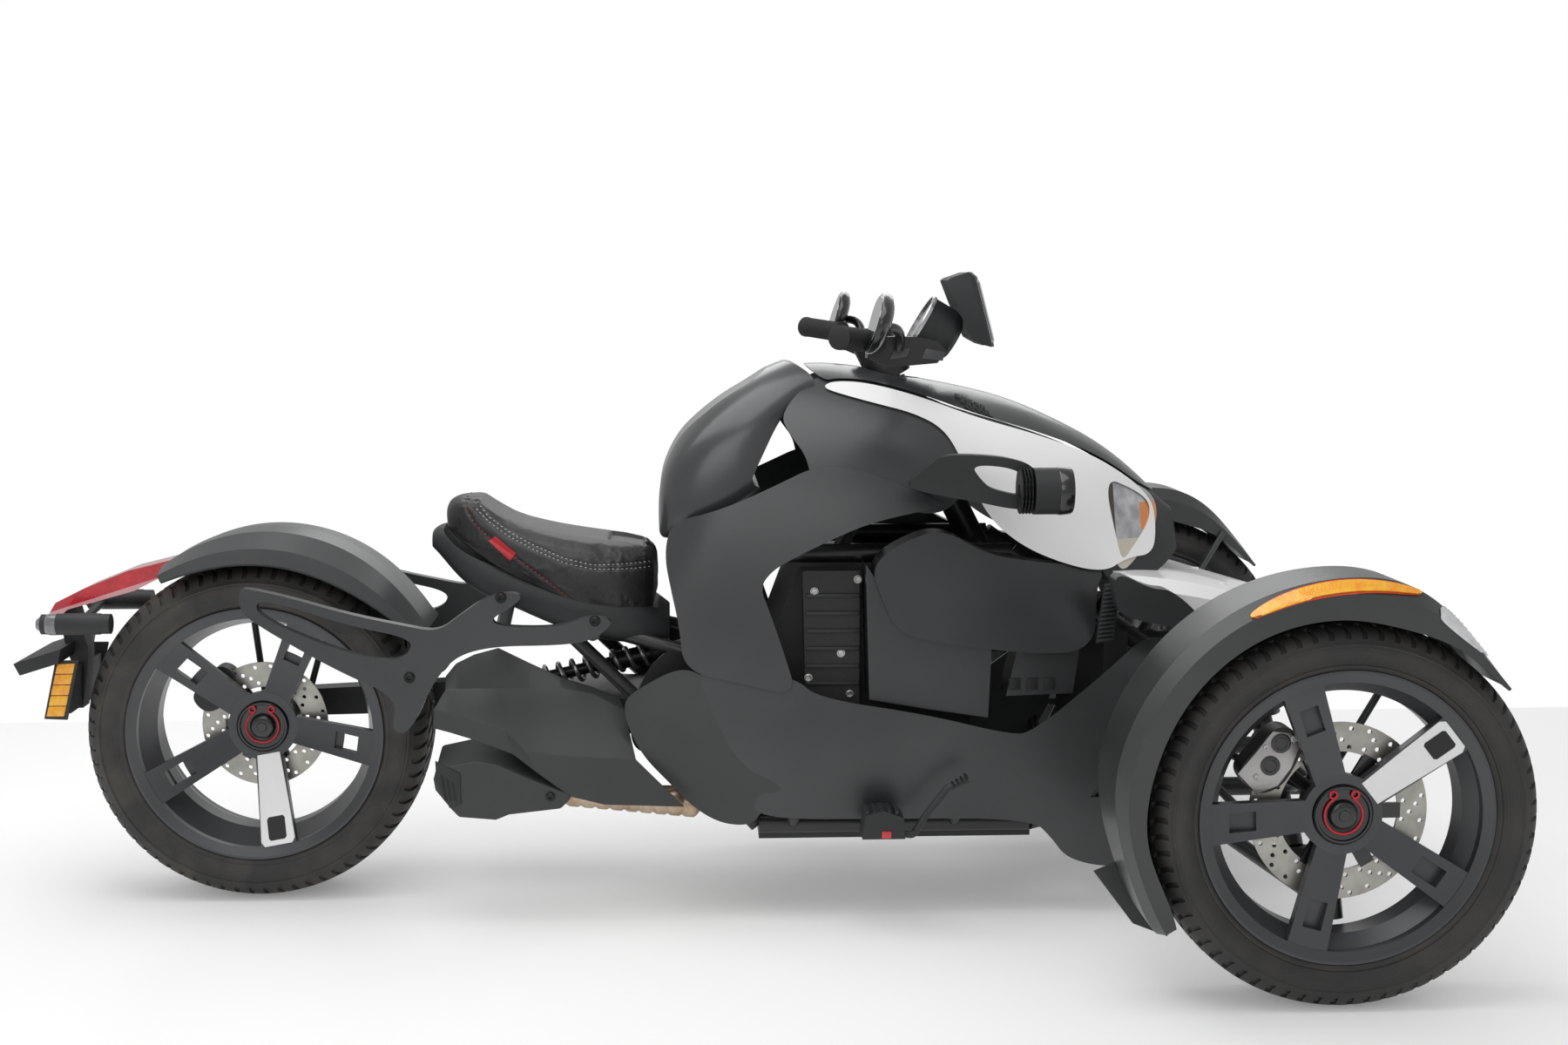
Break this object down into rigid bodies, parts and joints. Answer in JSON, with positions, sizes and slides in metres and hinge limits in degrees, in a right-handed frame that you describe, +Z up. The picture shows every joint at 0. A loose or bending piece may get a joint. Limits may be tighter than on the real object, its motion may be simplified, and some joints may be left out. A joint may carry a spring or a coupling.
{
  "type": "three wheeled car",
  "caption": "Open three wheeled car with steered front wheels on A-arms, a driven rear wheel on a single-sided swingarm, a straddle seat, a handlebar and a faired nose.",
  "frame": {"origin": "middle of the vehicle's footprint box, on the ground", "axes": "+X forward, +Y to the vehicle's left, +Z up"},
  "size_m": [2.399, 1.51, 1.09],
  "materials": {
    "frame_black": "satin",
    "engine_black": "matte",
    "intake_black": "satin",
    "seat_cover": "matte",
    "pan_black": "matte",
    "tank_grey": "gloss",
    "cowl_grey": "satin",
    "knee_grey": "satin",
    "shoulder_grey": "satin",
    "nose_white": "satin",
    "deck_white": "satin",
    "headlamp": "gloss",
    "surround_black": "satin",
    "lower_grey": "satin",
    "sill_black": "satin",
    "deck_grey": "satin",
    "pod_black": "satin",
    "peg_metal": "satin",
    "exhaust_steel": "satin",
    "shroud_grey": "satin",
    "swingarm_black": "satin",
    "shock_steel": "satin",
    "guard_grey": "satin",
    "fender_black": "satin",
    "tail_red": "gloss",
    "bracket_black": "matte",
    "arm_black": "satin",
    "shock_front": "satin",
    "belly_black": "matte",
    "radiator_black": "matte",
    "rear_rubber": "matte",
    "rim_rear": "satin",
    "disc_rear": "satin",
    "front_rubber_right": "matte",
    "rim_right": "satin",
    "disc_right": "satin",
    "front_rubber_left": "matte",
    "rim_left": "satin",
    "disc_left": "satin",
    "knuckle_metal_right": "satin",
    "knuckle_metal_left": "satin",
    "fender_right": "satin",
    "fender_left": "satin",
    "bar_black": "satin",
    "gauge_black": "satin",
    "mirror_black": "satin",
    "tie_metal_right": "satin",
    "tie_metal_left": "satin"
  },
  "bodies": {
    "chassis": {"main_frame": "frame_black", "engine_block": "engine_black", "air_intakes": "intake_black", "seat": "seat_cover", "seat_pan": "pan_black", "tank_cover": "tank_grey", "top_cowl": "cowl_grey", "knee_panels": "knee_grey", "shoulder_panels": "shoulder_grey", "nose_panels": "nose_white", "front_bumper": "deck_white", "headlight": "headlamp", "headlight_surround": "surround_black", "lower_panels": "lower_grey", "sill_panels": "sill_black", "deck_panels": "deck_grey", "lamp_pods": "pod_black", "foot_controls": "peg_metal", "exhaust": "exhaust_steel", "tail_shrouds": "shroud_grey", "swingarm": "swingarm_black", "rear_shock": "shock_steel", "foot_guards": "guard_grey", "rear_fender": "fender_black", "tail_light": "tail_red", "plate_bracket": "bracket_black", "control_arms": "arm_black", "front_shocks": "shock_front", "belly_pan": "belly_black", "radiator": "radiator_black"},
    "rear_wheel": {"rear_tyre": "rear_rubber", "rear_rim": "rim_rear", "rear_disc": "disc_rear"},
    "knuckle_right": {"knuckle_right": "knuckle_metal_right", "front_fender_right": "fender_right"},
    "front_wheel_right": {"front_tyre_right": "front_rubber_right", "front_rim_right": "rim_right", "front_disc_right": "disc_right"},
    "tie_rod_right": {"tie_rod_right": "tie_metal_right"},
    "knuckle_left": {"knuckle_left": "knuckle_metal_left", "front_fender_left": "fender_left"},
    "front_wheel_left": {"front_tyre_left": "front_rubber_left", "front_rim_left": "rim_left", "front_disc_left": "disc_left"},
    "tie_rod_left": {"tie_rod_left": "tie_metal_left"},
    "handlebar": {"handlebar": "bar_black", "gauge": "gauge_black", "mirrors": "mirror_black"}
  },
  "joints": [
    {"name": "rear_wheel_spin", "type": "hinge", "parent": "chassis", "child": "rear_wheel", "pos_m": [-0.7995, 0, 0.2955], "axis": [0, 1, 0], "continuous": true},
    {"name": "handlebar_steer", "type": "hinge", "parent": "chassis", "child": "handlebar", "pos_m": [0.3105, 0, 0.9], "axis": [-0.454, 0, 0.891], "range_deg": [-30, 30]},
    {"name": "knuckle_right_steer", "type": "hinge", "parent": "chassis", "child": "knuckle_right", "pos_m": [0.9175, -0.622, 0.165], "axis": [-0.0745, 0.1379, 0.9876], "range_deg": [-25.6, 25.6]},
    {"name": "front_wheel_right_spin", "type": "hinge", "parent": "knuckle_right", "child": "front_wheel_right", "pos_m": [0.9095, -0.67, 0.29], "axis": [0, 1, 0], "continuous": true},
    {"name": "tie_rod_right_turn", "type": "hinge", "parent": "knuckle_right", "child": "tie_rod_right", "pos_m": [0.8045, -0.607, 0.27], "axis": [-0.0745, 0.1379, 0.9876], "range_deg": [-25.6, 25.6]},
    {"name": "knuckle_left_steer", "type": "hinge", "parent": "chassis", "child": "knuckle_left", "pos_m": [0.9175, 0.622, 0.165], "axis": [-0.0745, -0.1379, 0.9876], "range_deg": [-25.6, 25.6]},
    {"name": "front_wheel_left_spin", "type": "hinge", "parent": "knuckle_left", "child": "front_wheel_left", "pos_m": [0.9095, 0.67, 0.29], "axis": [0, 1, 0], "continuous": true},
    {"name": "tie_rod_left_turn", "type": "hinge", "parent": "knuckle_left", "child": "tie_rod_left", "pos_m": [0.8045, 0.607, 0.27], "axis": [-0.0745, -0.1379, 0.9876], "range_deg": [-25.6, 25.6]}
  ],
  "couplings": [
    {"joint": "knuckle_right_steer", "follows": "handlebar_steer", "ratio": 0.85},
    {"joint": "tie_rod_right_turn", "follows": "handlebar_steer", "ratio": -0.85},
    {"joint": "knuckle_left_steer", "follows": "handlebar_steer", "ratio": 0.85},
    {"joint": "tie_rod_left_turn", "follows": "handlebar_steer", "ratio": -0.85}
  ]
}
